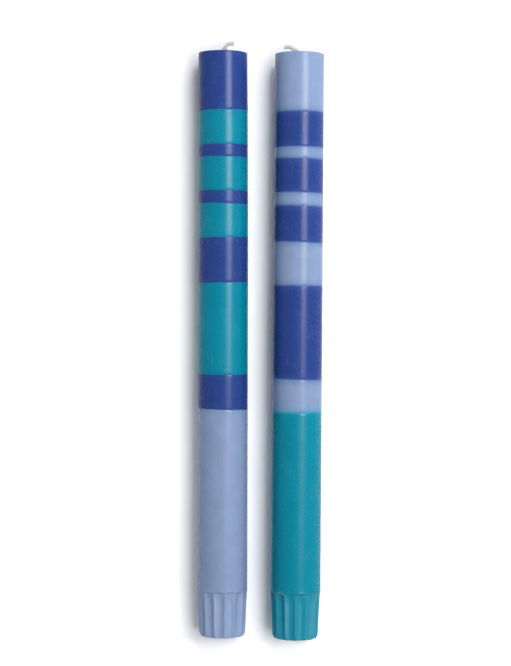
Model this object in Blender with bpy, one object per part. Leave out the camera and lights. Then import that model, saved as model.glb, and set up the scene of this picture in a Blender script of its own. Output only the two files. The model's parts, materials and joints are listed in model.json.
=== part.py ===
"""A pair of striped dinner candles, lying side by side.

Each candle is ten bands of coloured wax, poured one on the other round one cotton wick.
The mould stands tip down, so each pour cools to a dished face towards the foot, and the next
pour fills that dish. The foot is tapered and fluted, to wedge in the cup of a candle holder.
A candle is built standing, foot at the bottom, and then laid down with its wick towards +Y.
"""
import math

import bmesh
import bpy
from mathutils import Matrix, Vector

# Candle body, in metres
LEFT_LENGTH = 0.2543          # from the foot to the tip, without the wick
RIGHT_LENGTH = 0.2548
SHOULDER_DIAMETER = 0.0220    # just above the flutes, the widest place
TIP_DIAMETER = 0.0215         # at the wick end, slimmer by the draft of the mould
FOOT_DIAMETER = 0.0204        # across the ridges of the flutes, at the very end
RIM_ROUNDING = 0.0005         # soft edge round both ends
DISH_DEPTH = 0.0012           # how deep a pour sinks at the wick while it cools
CLEARANCE = 0.0003            # kept between pieces that touch

# Flutes of the foot
FLUTE_COUNT = 14
FLUTE_LENGTH = 0.0200
FLUTE_DEPTH = 0.0010          # from the ridges down to the floor of a flute
LIP_ARCH = 0.0010             # how far the middle of a flute's upper lip stands above its corners
LIP_SLOPE = 0.0006            # length of the step from the wall down into the flute

# Wick: it rises out of the wax, bends over on an arc, and runs on straight to its cut end
WICK_DIAMETER = 0.0018
LEFT_WICK_RISE = 0.0004
LEFT_WICK_ARC_RADIUS = 0.0030
LEFT_WICK_BEND = math.radians(65)
LEFT_WICK_END = 0.0031
RIGHT_WICK_RISE = 0.0003
RIGHT_WICK_ARC_RADIUS = 0.0026
RIGHT_WICK_BEND = math.radians(-80)
RIGHT_WICK_END = 0.0041

# How the two candles lie: the lean turns the wick end towards +X
SPACING = 0.0324              # from axis to axis, half way along
RIGHT_SLIP = 0.0007           # how much nearer to -Y the right candle lies
LEFT_LEAN = math.radians(0.20)
RIGHT_LEAN = math.radians(0.46)
LEFT_FLUTE_TURN = math.radians(7)
RIGHT_FLUTE_TURN = math.radians(-1)

# Waxes and cotton: colour as seen, red, green and blue out of 255, and roughness
BLUE = ("blue", (52, 72, 146), 0.42)
TEAL = ("teal", (10, 142, 160), 0.42)
PALE_BLUE = ("pale_blue", (146, 167, 206), 0.42)
COTTON = ("cotton", (222, 220, 214), 0.95)

# Pours from the tip on: name, wax, and length along the wall. The last pour is the fluted foot,
# and it fills what is left of the candle's length.
LEFT_FOOT_WAX = PALE_BLUE
LEFT_POURS = (
    ("tip", BLUE, 0.0255),
    ("band_2", TEAL, 0.0149),
    ("band_3", BLUE, 0.0054),
    ("band_4", TEAL, 0.0146),
    ("band_5", BLUE, 0.0057),
    ("band_6", TEAL, 0.0146),
    ("band_7", BLUE, 0.0197),
    ("band_8", TEAL, 0.0398),
    ("band_9", BLUE, 0.0151),
)
RIGHT_FOOT_WAX = TEAL
RIGHT_POURS = (
    ("tip", PALE_BLUE, 0.0258),
    ("band_2", BLUE, 0.0153),
    ("band_3", PALE_BLUE, 0.0051),
    ("band_4", BLUE, 0.0147),
    ("band_5", PALE_BLUE, 0.0058),
    ("band_6", BLUE, 0.0157),
    ("band_7", PALE_BLUE, 0.0189),
    ("band_8", BLUE, 0.0406),
    ("band_9", PALE_BLUE, 0.0146),
)

# Fineness of the faces
WALL_SIDES = 48
STEPS_PER_FLUTE = 8
RIM_STEPS = 2
WICK_ARC_STEPS = 8
SHARP_ANGLE = math.radians(28)


def clear_scene():
    for thing in list(bpy.data.objects):
        bpy.data.objects.remove(thing, do_unlink=True)


def to_linear(channel):
    """One colour channel, 0 to 255 as seen, as the linear value that a shader takes."""
    share = channel / 255
    if share <= 0.04045:
        return share / 12.92
    return ((share + 0.055) / 1.055) ** 2.4


def finish(name, colour, roughness):
    material = bpy.data.materials.get(name)
    if material is None:
        material = bpy.data.materials.new(name)
        material.use_nodes = True
        shader = material.node_tree.nodes["Principled BSDF"]
        shader.inputs["Base Color"].default_value = [to_linear(c) for c in colour] + [1.0]
        shader.inputs["Roughness"].default_value = roughness
        shader.inputs["Metallic"].default_value = 0.0
    return material


def wall_radius(height, length):
    """Radius of a candle's outer wall, at a height above its foot."""
    shoulder = SHOULDER_DIAMETER / 2
    if height <= FLUTE_LENGTH:
        foot = FOOT_DIAMETER / 2
        return foot + (shoulder - foot) * height / FLUTE_LENGTH
    share = (height - FLUTE_LENGTH) / (length - FLUTE_LENGTH)
    return shoulder + (TIP_DIAMETER / 2 - shoulder) * share


def bore_radius():
    """The hole that the wick fills."""
    return WICK_DIAMETER / 2 + CLEARANCE


def flute_radius(offset, ridge_radius):
    """Radius of a flute's surface, at an angle from its middle line.

    The flute is an arc of a circle that passes through its two ridges and its floor.
    """
    floor_radius = ridge_radius - FLUTE_DEPTH
    chord_radius = ridge_radius * math.cos(math.pi / FLUTE_COUNT)
    cutter_centre = (ridge_radius ** 2 - floor_radius ** 2) / (2 * (chord_radius - floor_radius))
    cutter_radius = cutter_centre - floor_radius
    sideways = cutter_centre * math.sin(offset)
    return cutter_centre * math.cos(offset) - math.sqrt(cutter_radius ** 2 - sideways ** 2)


def rounded_rim():
    """Inset and set-back of the points round a rim, from the wall to the end face."""
    points = []
    for step in range(RIM_STEPS + 1):
        angle = math.pi / 2 * step / RIM_STEPS
        inset = RIM_ROUNDING * (1 - math.cos(angle))
        set_back = RIM_ROUNDING * (1 - math.sin(angle))
        points.append((inset, set_back))
    return points


def turned_solid(name, section, sides, start):
    """Carry a closed section round the z axis. section(angle) gives its (radius, height) points,
    so it may change as it turns. Angles count from -Y towards +X."""
    bm = bmesh.new()
    rings = []
    for side in range(sides):
        angle = start + 2 * math.pi * side / sides
        across = Vector((math.sin(angle), -math.cos(angle), 0))
        up = Vector((0, 0, 1))
        rings.append([bm.verts.new(across * radius + up * height) for radius, height in section(angle)])
    for ring, next_ring in zip(rings, rings[1:] + rings[:1]):
        for corner in range(len(ring)):
            after = (corner + 1) % len(ring)
            bm.faces.new((ring[corner], ring[after], next_ring[after], next_ring[corner]))
    bmesh.ops.recalc_face_normals(bm, faces=bm.faces)
    mesh = bpy.data.meshes.new(name)
    bm.to_mesh(mesh)
    bm.free()
    mesh.shade_smooth()
    mesh.set_sharp_from_angle(angle=SHARP_ANGLE)
    return mesh


def band_mesh(name, low, high, length):
    """A pour between two others: its lower face is dished, its upper face fills a dish."""
    bottom = low + CLEARANCE / 2
    top = high - CLEARANCE / 2

    def section(angle):
        return [
            (wall_radius(top, length), top - low),
            (wall_radius(bottom, length), bottom - low),
            (bore_radius(), bottom - low + DISH_DEPTH),
            (bore_radius(), top - low + DISH_DEPTH),
        ]

    return turned_solid(name, section, WALL_SIDES, 0.0)


def tip_mesh(name, low, high, length):
    """The first pour: dished below, and flat with a rounded rim above, as the mould's end is."""
    bottom = low + CLEARANCE / 2

    def section(angle):
        rim = [(wall_radius(high, length) - inset, high - low - set_back)
               for inset, set_back in reversed(rounded_rim())]
        return rim + [
            (wall_radius(bottom, length), bottom - low),
            (bore_radius(), bottom - low + DISH_DEPTH),
            (bore_radius(), high - low),
        ]

    return turned_solid(name, section, WALL_SIDES, 0.0)


def foot_mesh(name, high, length, turn):
    """The last pour, with the flutes cut in its lower end. Ridges stand at the turn."""
    top = high - CLEARANCE / 2
    pitch = 2 * math.pi / FLUTE_COUNT

    def section(angle):
        offset = (angle - turn) % pitch - pitch / 2
        across = offset / (pitch / 2)
        lip = FLUTE_LENGTH - LIP_ARCH * across ** 2
        step_foot = lip - LIP_SLOPE
        end_radius = flute_radius(offset, wall_radius(0, length))
        rim = [(end_radius - inset, set_back) for inset, set_back in rounded_rim()]
        return [
            (wall_radius(top, length), top),
            (wall_radius(lip, length), lip),
            (flute_radius(offset, wall_radius(step_foot, length)), step_foot),
        ] + rim + [
            (bore_radius(), 0.0),
            (bore_radius(), top + DISH_DEPTH),
        ]

    return turned_solid(name, section, FLUTE_COUNT * STEPS_PER_FLUTE, turn)


def wick_path(length, rise, arc_radius, bend, end):
    """Points along the wick, from the foot to its cut end. A positive bend leans towards +X."""
    side = math.copysign(1, bend)
    exit_height = length + rise
    points = [Vector((0, 0, 0)), Vector((0, 0, length / 2))]
    for step in range(WICK_ARC_STEPS + 1):
        angle = abs(bend) * step / WICK_ARC_STEPS
        across = side * arc_radius * (1 - math.cos(angle))
        points.append(Vector((across, 0, exit_height + arc_radius * math.sin(angle))))
    heading = Vector((math.sin(bend), 0, math.cos(bend)))
    points.append(points[-1] + heading * end)
    return points


def wick_curve(name, points):
    curve = bpy.data.curves.new(name, "CURVE")
    curve.dimensions = "3D"
    curve.bevel_depth = WICK_DIAMETER / 2
    curve.bevel_resolution = 2
    curve.use_fill_caps = True
    spline = curve.splines.new("POLY")
    spline.points.add(len(points) - 1)
    for spline_point, place in zip(spline.points, points):
        spline_point.co = (*place, 1.0)
    return curve


def add_piece(name, data, stuff, parent, height):
    piece = bpy.data.objects.new(name, data)
    bpy.context.scene.collection.objects.link(piece)
    data.materials.append(finish(*stuff))
    piece.parent = parent
    piece.location.z = height
    return piece


def add_empty(name, parent):
    empty = bpy.data.objects.new(name, None)
    bpy.context.scene.collection.objects.link(empty)
    empty.parent = parent
    return empty


def lay_down(candle, length, middle, lean):
    """Lay a standing candle on its wall, wick towards +Y, turned by the lean towards +X."""
    wall_slope = math.atan((SHOULDER_DIAMETER - TIP_DIAMETER) / 2 / (length - FLUTE_LENGTH))
    height = wall_radius(length / 2, length) / math.cos(wall_slope)
    laid = Matrix.Rotation(-math.pi / 2 - wall_slope, 4, "X")
    candle.matrix_local = Matrix.Translation((*middle, height)) @ Matrix.Rotation(-lean, 4, "Z") @ laid


def build_candle(side, length, pours, foot_wax, turn, wick_shape, middle, lean, parent):
    """One candle under its own empty, which sits on the axis half way along."""
    candle = add_empty(side + "_candle", parent)
    high = length
    for place, wax, pour_length in pours:
        low = high - pour_length
        name = side + "_" + place + "_" + wax[0]
        if place == "tip":
            mesh = tip_mesh(name, low, high, length)
        else:
            mesh = band_mesh(name, low, high, length)
        add_piece(name, mesh, wax, candle, low - length / 2)
        high = low
    foot_name = side + "_fluted_foot_" + foot_wax[0]
    add_piece(foot_name, foot_mesh(foot_name, high, length, turn), foot_wax, candle, -length / 2)
    wick_name = side + "_wick"
    wick = wick_curve(wick_name, wick_path(length, *wick_shape))
    add_piece(wick_name, wick, COTTON, candle, -length / 2)
    lay_down(candle, length, middle, lean)


def centre_on_surface(root):
    """Move the pair so that the middle of its box is over the origin, with its lowest point at z = 0."""
    bpy.context.view_layer.update()
    graph = bpy.context.evaluated_depsgraph_get()
    corners = []
    for piece in bpy.data.objects:
        if piece.type == "EMPTY":
            continue
        evaluated = piece.evaluated_get(graph)
        mesh = evaluated.to_mesh()
        corners += [evaluated.matrix_world @ vertex.co for vertex in mesh.vertices]
        evaluated.to_mesh_clear()
    lowest = Vector([min(corner[axis] for corner in corners) for axis in range(3)])
    highest = Vector([max(corner[axis] for corner in corners) for axis in range(3)])
    middle = (lowest + highest) / 2
    root.location = (-middle.x, -middle.y, -lowest.z)
    bpy.context.view_layer.update()
    print("box in mm:", [round(side * 1000, 3) for side in highest - lowest])


def main():
    clear_scene()
    pair = add_empty("candle_pair", None)
    left_wick = (LEFT_WICK_RISE, LEFT_WICK_ARC_RADIUS, LEFT_WICK_BEND, LEFT_WICK_END)
    right_wick = (RIGHT_WICK_RISE, RIGHT_WICK_ARC_RADIUS, RIGHT_WICK_BEND, RIGHT_WICK_END)
    left_middle = (-SPACING / 2, 0.0)
    right_middle = (SPACING / 2, -RIGHT_SLIP)
    build_candle("left", LEFT_LENGTH, LEFT_POURS, LEFT_FOOT_WAX, LEFT_FLUTE_TURN,
                 left_wick, left_middle, LEFT_LEAN, pair)
    build_candle("right", RIGHT_LENGTH, RIGHT_POURS, RIGHT_FOOT_WAX, RIGHT_FLUTE_TURN,
                 right_wick, right_middle, RIGHT_LEAN, pair)
    centre_on_surface(pair)


main()
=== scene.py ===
# %% [markdown]
# # Two striped dinner candles
#
# Each candle is ten pours of coloured wax in one long mould, with a braided cotton wick through
# the middle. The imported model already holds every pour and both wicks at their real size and
# place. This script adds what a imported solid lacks: the small waves that a mould leaves, the soft
# edges, the braid, and wax that looks like wax. Lengths are in metres.

# %% Load the frame
import json
import math

import bmesh
import bpy
import numpy as np
from mathutils import Matrix, Vector, noise


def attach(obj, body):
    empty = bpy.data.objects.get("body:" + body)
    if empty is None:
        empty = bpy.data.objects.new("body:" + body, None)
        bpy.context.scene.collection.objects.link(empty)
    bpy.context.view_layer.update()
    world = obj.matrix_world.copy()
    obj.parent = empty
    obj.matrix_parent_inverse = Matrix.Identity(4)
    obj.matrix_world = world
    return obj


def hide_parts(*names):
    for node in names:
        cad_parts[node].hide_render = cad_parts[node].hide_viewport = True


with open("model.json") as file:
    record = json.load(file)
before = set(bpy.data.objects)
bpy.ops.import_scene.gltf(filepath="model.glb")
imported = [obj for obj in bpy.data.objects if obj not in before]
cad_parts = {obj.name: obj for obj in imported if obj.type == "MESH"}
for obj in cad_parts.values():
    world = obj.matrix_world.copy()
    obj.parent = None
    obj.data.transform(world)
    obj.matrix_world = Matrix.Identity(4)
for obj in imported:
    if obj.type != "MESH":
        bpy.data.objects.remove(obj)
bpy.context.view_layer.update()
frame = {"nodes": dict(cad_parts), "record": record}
record = frame["record"]
print("pieces in the frame:", len(frame["nodes"]))

# %% [markdown]
# ## A candle's own axes
#
# A candle is easiest to describe standing up, with its foot at the origin and its wick on top.
# The record gives a mount on each foot: a point 5 mm beside the wick's hole, and the direction in
# which the foot faces. From these two come the axes of the candle as it lies: z runs from foot to
# wick, x is level, and minus y points up from the table. Every piece of a candle gets this matrix,
# so its object coordinates are metres from the middle of the foot, and a texture made with them
# runs on from one pour to the next.

# %% Candle axes
MOUNT_OFFSET = 0.005


def candle_matrix(side):
    """Axes and origin of a candle as it lies, from the mount on its foot."""
    mount = next(m for m in record["mounts"] if m["name"] == side + "_foot")
    along = -Vector(mount["axis"]).normalized()
    level = along.cross(Vector((0, 0, 1))).normalized()
    down = along.cross(level)
    foot = Vector(mount["pos_m"]) - level * MOUNT_OFFSET
    matrix = Matrix((level, down, along)).transposed().to_4x4()
    matrix.translation = foot
    return matrix


# %% [markdown]
# ## Measure the frame
#
# A pour's place along the candle is read from the frame, so the looks follow the solids when a
# size changes. Only points on the outer wall count, because the faces between pours are dished.
# Two pours meet half way across the hairline gap that the solids keep.

# %% Measure the pours
WALL_INSIDE = 0.005           # anything further from the axis than this is on the wall
END_MEASURED = 0.001          # how much of either end its radius is measured on


class Candle:
    """One candle: its axes, its pours from wick to foot, and where one pour meets the next."""

    def __init__(self, side):
        self.side = side
        self.matrix = candle_matrix(side)
        self.nodes = [name for name in frame["nodes"] if name.startswith(side + "_")]
        self.wick_node = side + "_wick"
        spans = {}
        for name in self.nodes:
            if name != self.wick_node:
                spans[name] = self.wall_span(name)
        self.pours = sorted(spans, key=lambda name: -spans[name][0])
        self.length = spans[self.pours[0]][1]
        self.edges = [(spans[upper][0] + spans[lower][1]) / 2
                      for upper, lower in zip(self.pours, self.pours[1:])]
        self.shoulder = self.widest(self.pours[-1], 0.0, self.length)
        self.tip_radius = self.widest(self.pours[0], self.length - END_MEASURED, self.length)
        self.foot_radius = self.widest(self.pours[-1], 0.0, END_MEASURED)

    def points(self, node):
        inverse = self.matrix.inverted()
        return [inverse @ vertex.co for vertex in frame["nodes"][node].data.vertices]

    def wall_span(self, node):
        heights = [p.z for p in self.points(node) if math.hypot(p.x, p.y) > WALL_INSIDE]
        return min(heights), max(heights)

    def widest(self, node, low, high):
        return max(math.hypot(p.x, p.y) for p in self.points(node) if low <= p.z <= high)


left = Candle("left")
right = Candle("right")
for candle in (left, right):
    radii = (candle.shoulder, candle.tip_radius, candle.foot_radius)
    print(candle.side, "length mm", round(candle.length * 1000, 2),
          "radii mm", [round(radius * 1000, 3) for radius in radii])
    print("  edges mm from the foot", [round(edge * 1000, 2) for edge in candle.edges])

# %% [markdown]
# ## The camera
#
# The photograph looks straight down. How much the rings between the pours bow outwards gives the
# distance, about 830 mm above the candles' axes. The lens then follows from the candles' length
# in the picture. The camera stands over a point above the middle of the picture, so the frame is
# shifted down a little instead of tilting the camera, which would make the candles converge.

# %% Camera
CAMERA_PLACE = (-0.00225, 0.0171, 0.841)
SENSOR = 36.0                 # millimetres, as the lens is
LENS = 102.7
NEAREST_SEEN = 0.01
PICTURE_HEIGHT = 666
PICTURE_SHIFT = -33           # pixels: below zero, as the picture's middle lies under that point


def make_camera():
    data = bpy.data.cameras.new("overhead_camera")
    data.sensor_width = SENSOR
    data.lens = LENS
    data.shift_y = PICTURE_SHIFT / PICTURE_HEIGHT
    data.clip_start = NEAREST_SEEN
    camera = bpy.data.objects.new("overhead_camera", data)
    camera.location = CAMERA_PLACE
    bpy.context.scene.collection.objects.link(camera)
    bpy.context.scene.camera = camera
    return camera


camera = make_camera()
print(camera.name, "at", CAMERA_PLACE, "looking straight down")

# %% [markdown]
# ## The outer wall of a candle
#
# On the real candle the wall is the inside of a mould: it is slimmer at the wick end, so that the
# candle slides out, and it keeps faint waves from the metal. A perfect cylinder gives itself away
# by a ruler-straight highlight. So the radius is a formula, the mould's draft less a few
# hundredths of a millimetre of smooth noise, and the noise is stretched along the candle as the
# marks of a drawn tube are. The waves only ever go inwards, so the wall stays inside the solid.

# %% Wall radius
FLUTE_LENGTH = 0.0200
WALL_MARGIN = 0.00004
WAVE_HEIGHT = 0.00003
WAVE_ACROSS = 0.007
WAVE_ALONG = 0.045
WAVE_SHIFT = {"left": 0.0, "right": 3.7}   # other waves on the other candle


def mould_radius(candle, height):
    """The mould's inside: it widens from the foot's end to the shoulder, then slims to the tip."""
    if height <= FLUTE_LENGTH:
        return candle.foot_radius + (candle.shoulder - candle.foot_radius) * height / FLUTE_LENGTH
    share = (height - FLUTE_LENGTH) / (candle.length - FLUTE_LENGTH)
    return candle.shoulder + (candle.tip_radius - candle.shoulder) * share


def wall_wave(candle, angle, height):
    """A smooth hollow of 0 to WAVE_HEIGHT, the same for a given place on a given candle."""
    place = Vector((math.sin(angle) * candle.shoulder / WAVE_ACROSS,
                    math.cos(angle) * candle.shoulder / WAVE_ACROSS,
                    height / WAVE_ALONG + WAVE_SHIFT[candle.side]))
    return WAVE_HEIGHT * (0.5 - 0.5 * noise.noise(place))


def wall_radius(candle, angle, height):
    """The wax's own radius: a hair inside the mould, with the wave taken off."""
    return mould_radius(candle, height) - WALL_MARGIN - wall_wave(candle, angle, height)


# %% [markdown]
# ## How one pour meets the next
#
# The mould stands tip down, and a pour sinks a little at the wick while it cools, so the face
# between two pours is dished towards the tip. The mould never stands quite upright, so each face
# also tilts by a few tenths of a millimetre, which the photograph shows as stripes that aren't
# quite square. Both pours use the same formula for their common face and so fit exactly.

# %% Faces between pours
DISH_DEPTH = 0.0012
BORE_RADIUS = 0.00097

# How far each face falls from the candle's -x side to its +x side, in millimetres. The first
# number is the face nearest the tip.
LEFT_TILTS = (-0.44, -0.15, 0.23, -0.03, 0.45, -0.38, -0.46, 0.08, 0.52)
RIGHT_TILTS = (-0.14, 0.00, 0.32, 0.39, 0.37, 0.74, 0.04, 0.66, -0.18)
left.slopes = [tilt / 1000 / (2 * left.shoulder) for tilt in LEFT_TILTS]
right.slopes = [tilt / 1000 / (2 * right.shoulder) for tilt in RIGHT_TILTS]


def face_height(candle, edge, angle, radius):
    """Height of the face under pour number `edge`, counted from the tip."""
    across = radius * math.sin(angle)
    sunk = (candle.shoulder - radius) / (candle.shoulder - BORE_RADIUS)
    return candle.edges[edge] - candle.slopes[edge] * across + DISH_DEPTH * sunk


# %% [markdown]
# ## Turning a section
#
# Every wax piece is a closed section carried round the axis, like work on a lathe. Blender's Spin
# tool does that for one fixed section. Here the section changes as it turns, because the faces
# tilt and the foot is fluted, so the helper asks for a new section at each angle and joins equal
# points with quads. The section is a closed loop, and the result is one watertight body.
#
# The left candle isn't quite straight. From its middle to its tip it bends aside, by half a
# millimetre in all. The pieces are made straight, and a second helper moves their points aside
# and then puts the piece in its place.

# %% Turn a section
SHARP_ANGLE = math.radians(32)
left.bend = -0.0005           # how far aside the tip lies, along x
right.bend = 0.0


def turned_mesh(name, section, sides, start=0.0):
    """section(angle) gives (radius, height) points round a closed loop. Angles count from the
    line that faces up, towards +x."""
    bm = bmesh.new()
    rings = []
    for side in range(sides):
        angle = start + 2 * math.pi * side / sides
        across = Vector((math.sin(angle), -math.cos(angle), 0))
        rings.append([bm.verts.new(across * radius + Vector((0, 0, height)))
                      for radius, height in section(angle)])
    for ring, next_ring in zip(rings, rings[1:] + rings[:1]):
        for corner in range(len(ring)):
            after = (corner + 1) % len(ring)
            bm.faces.new((ring[corner], ring[after], next_ring[after], next_ring[corner]))
    bmesh.ops.recalc_face_normals(bm, faces=bm.faces)
    mesh = bpy.data.meshes.new(name)
    bm.to_mesh(mesh)
    bm.free()
    mesh.shade_smooth()
    mesh.set_sharp_from_angle(angle=SHARP_ANGLE)
    return mesh


def place_piece(candle, name, mesh, node):
    """Bend a piece and put it on its candle: it rides with the frame and stands for its node."""
    for vertex in mesh.vertices:
        past_middle = max(0.0, 2 * vertex.co.z / candle.length - 1)
        vertex.co.x += candle.bend * past_middle ** 2
    piece = bpy.data.objects.new(name, mesh)
    bpy.context.scene.collection.objects.link(piece)
    piece.matrix_world = candle.matrix
    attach(piece, "root")
    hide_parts(node)
    return piece


# %% [markdown]
# ## A pour between two others
#
# The part of a pour that shows is its wall. Where it meets the next pour the edge is eased by two
# hundredths of a millimetre, so that close up the seam is a hairline and not a painted line.
# Rows of points about a millimetre apart carry the waves of the wall.

# %% Middle pours
BAND_SIDES = 144
ROW_SPACING = 0.0012
SEAM_EASE = 0.00002
SEAM_WIDTH = 0.00005
FACE_RINGS = 4


def row_count(length):
    return max(2, round(length / ROW_SPACING))


def wall_rows(candle, angle, low, high, count):
    """Points down a stretch of wall, from its high end to its low end."""
    heights = [high + (low - high) * row / count for row in range(count + 1)]
    return [(wall_radius(candle, angle, height), height) for height in heights]


def face_rows(candle, edge, angle):
    """Points across the face under a pour, from the wall in to the wick."""
    outer = wall_radius(candle, angle, candle.edges[edge]) - SEAM_EASE
    rows = []
    for ring in range(FACE_RINGS + 1):
        radius = outer + (BORE_RADIUS - outer) * ring / FACE_RINGS
        rows.append((radius, face_height(candle, edge, angle, radius)))
    return rows


def band_section(candle, upper_edge, lower_edge, angle):
    top_face = face_rows(candle, upper_edge, angle)
    bottom_face = face_rows(candle, lower_edge, angle)
    high = top_face[0][1] - SEAM_WIDTH
    low = bottom_face[0][1] + SEAM_WIDTH
    count = row_count(candle.edges[upper_edge] - candle.edges[lower_edge])
    return list(reversed(top_face)) + wall_rows(candle, angle, low, high, count) + bottom_face


def make_band(candle, number):
    node = candle.pours[number]

    def section(angle):
        return band_section(candle, number - 1, number, angle)

    mesh = turned_mesh(node + "_wax", section, BAND_SIDES)
    return place_piece(candle, node + "_wax", mesh, node)


wax_pieces = {}
for candle in (left, right):
    for number in range(1, len(candle.pours) - 1):
        piece = make_band(candle, number)
        wax_pieces[candle.pours[number]] = piece
print("middle pours:", len(wax_pieces))

# %% [markdown]
# ## The tip
#
# The mould's closed end gives the tip a flat face with a softly rounded rim. Wax creeps up the
# wick before it sets, so a small collar stands round it. The face isn't seen from above, but the
# rim is, so its rounding has several steps. The rings of points crowd together towards the wick,
# where the collar is steep.

# %% Tip pours
RIM_ROUNDING = 0.0005
RIM_STEPS = 6
COLLAR_HEIGHT = 0.00035
COLLAR_REACH = 0.0011
COLLAR_STEEPNESS = 2.5
TIP_RINGS = 12
TIP_CROWDING = 1.6


def rim_point(wall, face, step, facing):
    """A point on the quarter circle between wall and end face. facing is 1 on the tip and -1 on
    the foot."""
    turn = math.pi / 2 * step / RIM_STEPS
    radius = wall - RIM_ROUNDING * (1 - math.cos(turn))
    height = face - facing * RIM_ROUNDING * (1 - math.sin(turn))
    return radius, height


def collar_height(radius):
    """Wax drawn up the wick: steep at the wick, and flat from COLLAR_REACH outwards."""
    share = min(1.0, (radius - BORE_RADIUS) / COLLAR_REACH)
    return COLLAR_HEIGHT * (1 - share) ** COLLAR_STEEPNESS


def make_tip(candle):
    node = candle.pours[0]

    def section(angle):
        wall = wall_radius(candle, angle, candle.length)
        rim = [rim_point(wall, candle.length, step, 1) for step in range(RIM_STEPS, -1, -1)]
        inner = rim[0][0]
        rows = []
        for ring in range(TIP_RINGS):
            share = (ring / TIP_RINGS) ** TIP_CROWDING
            radius = BORE_RADIUS + (inner - BORE_RADIUS) * share
            rows.append((radius, candle.length + collar_height(radius)))
        bottom_face = face_rows(candle, 0, angle)
        low = bottom_face[0][1] + SEAM_WIDTH
        count = row_count(candle.length - candle.edges[0])
        return rows + rim + wall_rows(candle, angle, low, rim[-1][1], count)[1:] + bottom_face

    mesh = turned_mesh(node + "_wax", section, BAND_SIDES)
    return place_piece(candle, node + "_wax", mesh, node)


for candle in (left, right):
    wax_pieces[candle.pours[0]] = make_tip(candle)
print("tips:", left.pours[0], right.pours[0])

# %% [markdown]
# ## The fluted foot
#
# The foot narrows so that it wedges in a holder, and its flutes let it give a little. Each flute
# is a groove with a round floor. Where two grooves meet they leave a ridge, and where a groove
# runs out at the top it leaves a scalloped lip. A groove isn't at its full depth there: it steps
# down by two fifths of it and reaches the rest over the next millimetres, as a cutter leaves it
# that is eased in. The ridges are a little rounded.
#
# Cutting the grooves with a Boolean would leave ragged triangles along the lips, so the foot is
# turned too: the radius is the formula of the groove, and the rows of points bend up and down
# with the lip, which keeps it crisp.

# %% Flute shape
FLUTE_COUNT = 14
FLUTE_DEPTH = 0.0012
LIP_ARCH = 0.0006             # how far the lip is higher in the middle of a groove
LIP_SLOPE = 0.0005
LIP_BEAD = 0.00004
LIP_BEAD_WIDTH = 0.0004
LIP_CUT = 0.4                 # share of the depth that the step at the lip has
RUN_OUT = 0.0045              # length over which the groove reaches the rest
RIDGE_ROUNDING = 0.00022
RIDGE_SAMPLES = 4             # on each side of a point
POINTS_PER_FLUTE = 20
left.flute_turn = math.radians(7)
right.flute_turn = math.radians(-1)
left.lip = FLUTE_LENGTH + 0.0002
right.lip = FLUTE_LENGTH + 0.0005
PITCH = 2 * math.pi / FLUTE_COUNT


def flute_radius(offset, ridge):
    """Radius of a groove's surface, at an angle from its middle. The floor is a hollow arc. The
    ridges are worn, so the depth is the mean of the arc's depth over a small width."""
    total = 0.0
    for step in range(-RIDGE_SAMPLES, RIDGE_SAMPLES + 1):
        moved = offset + step / RIDGE_SAMPLES * RIDGE_ROUNDING / ridge
        across = ((moved + PITCH / 2) % PITCH - PITCH / 2) / (PITCH / 2)
        total += 1 - across ** 2
    return ridge - FLUTE_DEPTH * total / (2 * RIDGE_SAMPLES + 1)


def lip_height(candle, offset):
    across = offset / (PITCH / 2)
    return candle.lip - LIP_ARCH * across ** 2


# %% [markdown]
# ## The rows of the foot
#
# From the top down: plain wall, a fine bead that the tool pushed up along the lip, the step down
# into the groove, the groove itself, the rounded rim and the end face. Over the last two
# millimetres the ridges are worn down towards the rim. The end was cut flat after the candle left
# the mould, and dips to a shallow hollow at the wick.

# %% Foot pours
STEP_ROWS = 5
GROOVE_ROWS = 24
BEAD_ROUND = 0.75             # how much of a half circle the bead's section has
RIM_WEAR = 0.0012
RIM_WEAR_HEIGHT = 0.0020
END_RINGS = 14
END_HOLLOW = 0.0003
END_HOLLOW_REACH = 0.0030


def foot_wall_rows(candle, angle, offset, top):
    """Wall from the last face between pours down to the lip, with the bead at its end."""
    lip = lip_height(candle, offset)
    count = row_count(candle.edges[-1] - FLUTE_LENGTH)
    rows = wall_rows(candle, angle, lip + LIP_BEAD_WIDTH, top, count)
    for step in range(1, STEP_ROWS + 1):
        share = step / STEP_ROWS
        height = lip + LIP_BEAD_WIDTH * (1 - share)
        bead = LIP_BEAD * math.sin(share * math.pi * BEAD_ROUND)
        rows.append((wall_radius(candle, angle, height) + bead, height))
    return rows


def cut_radius(candle, angle, offset, height, cut):
    """Radius where the groove has only reached a share `cut` of its depth."""
    outer = wall_radius(candle, angle, height)
    inner = flute_radius(offset, mould_radius(candle, height) - WALL_MARGIN)
    worn = RIM_WEAR * max(0.0, 1 - height / RIM_WEAR_HEIGHT) ** 2
    return min(outer - worn, outer + (inner - outer) * cut)


def foot_step_rows(candle, angle, offset):
    """From the lip down into the groove."""
    lip = lip_height(candle, offset)
    rows = []
    for step in range(1, STEP_ROWS + 1):
        share = step / STEP_ROWS
        height = lip - LIP_SLOPE * share
        cut = LIP_CUT * math.sin(share * math.pi / 2)
        rows.append((cut_radius(candle, angle, offset, height, cut), height))
    return rows


def foot_groove_rows(candle, angle, offset):
    """Down the groove: it deepens over RUN_OUT, and cut_radius wears its ridges at the rim."""
    start = lip_height(candle, offset) - LIP_SLOPE
    rows = []
    for row in range(1, GROOVE_ROWS + 1):
        height = start + (RIM_ROUNDING - start) * row / GROOVE_ROWS
        share = min(1.0, (start - height) / RUN_OUT)
        cut = LIP_CUT + (1 - LIP_CUT) * math.sin(share * math.pi / 2)
        rows.append((cut_radius(candle, angle, offset, height, cut), height))
    return rows


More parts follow.
